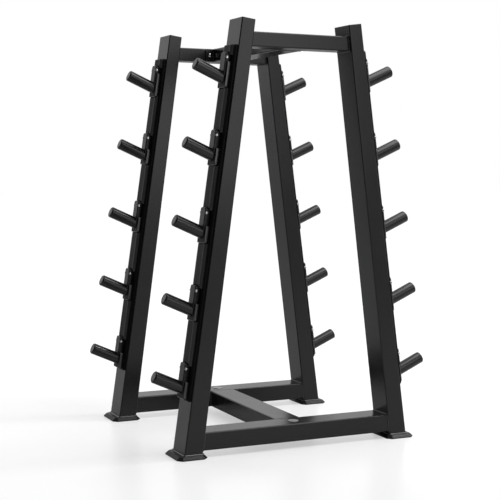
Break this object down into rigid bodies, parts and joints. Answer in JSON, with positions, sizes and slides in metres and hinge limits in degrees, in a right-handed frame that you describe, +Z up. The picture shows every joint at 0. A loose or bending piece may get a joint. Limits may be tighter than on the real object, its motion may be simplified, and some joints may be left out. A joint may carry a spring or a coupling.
{
  "type": "barbell storage rack",
  "caption": "Free-standing A-frame rack with tilted, rubber covered pegs on the leaning legs of two end frames, for storing fixed barbells across them.",
  "frame": {"origin": "on the floor, at the middle of the rack's footprint", "axes": "+Z up, Y along the stored barbells from the front end frame (negative) to the rear one (positive), X across an end frame from left to right"},
  "size_m": [1.077, 0.818, 1.5],
  "materials": {
    "frame_paint": "satin black powder coat",
    "guard_plastic": "moulded black polyurethane, matt",
    "peg_rubber": "smooth black rubber over a steel core",
    "foot_rubber": "moulded black rubber",
    "bolt_zinc": "bright zinc plated heads of the bolts"
  },
  "bodies": {
    "root": {"foot_front_right": "foot_rubber", "leg_front_right": "frame_paint", "guard_front_right": "guard_plastic", "bracket_front_right_1": "frame_paint", "peg_front_right_1": "peg_rubber", "bracket_front_right_2": "frame_paint", "peg_front_right_2": "peg_rubber", "bracket_front_right_3": "frame_paint", "peg_front_right_3": "peg_rubber", "bracket_front_right_4": "frame_paint", "peg_front_right_4": "peg_rubber", "bracket_front_right_5": "frame_paint", "peg_front_right_5": "peg_rubber", "foot_front_left": "foot_rubber", "leg_front_left": "frame_paint", "guard_front_left": "guard_plastic", "bracket_front_left_1": "frame_paint", "peg_front_left_1": "peg_rubber", "bracket_front_left_2": "frame_paint", "peg_front_left_2": "peg_rubber", "bracket_front_left_3": "frame_paint", "peg_front_left_3": "peg_rubber", "bracket_front_left_4": "frame_paint", "peg_front_left_4": "peg_rubber", "bracket_front_left_5": "frame_paint", "peg_front_left_5": "peg_rubber", "base_bar_front": "frame_paint", "top_bar_front": "frame_paint", "top_flange_front": "frame_paint", "foot_rear_right": "foot_rubber", "leg_rear_right": "frame_paint", "guard_rear_right": "guard_plastic", "bracket_rear_right_1": "frame_paint", "peg_rear_right_1": "peg_rubber", "bracket_rear_right_2": "frame_paint", "peg_rear_right_2": "peg_rubber", "bracket_rear_right_3": "frame_paint", "peg_rear_right_3": "peg_rubber", "bracket_rear_right_4": "frame_paint", "peg_rear_right_4": "peg_rubber", "bracket_rear_right_5": "frame_paint", "peg_rear_right_5": "peg_rubber", "foot_rear_left": "foot_rubber", "leg_rear_left": "frame_paint", "guard_rear_left": "guard_plastic", "bracket_rear_left_1": "frame_paint", "peg_rear_left_1": "peg_rubber", "bracket_rear_left_2": "frame_paint", "peg_rear_left_2": "peg_rubber", "bracket_rear_left_3": "frame_paint", "peg_rear_left_3": "peg_rubber", "bracket_rear_left_4": "frame_paint", "peg_rear_left_4": "peg_rubber", "bracket_rear_left_5": "frame_paint", "peg_rear_left_5": "peg_rubber", "base_bar_rear": "frame_paint", "top_bar_rear": "frame_paint", "top_flange_rear": "frame_paint", "base_spine": "frame_paint", "top_spine": "frame_paint"}
  },
  "joints": []
}
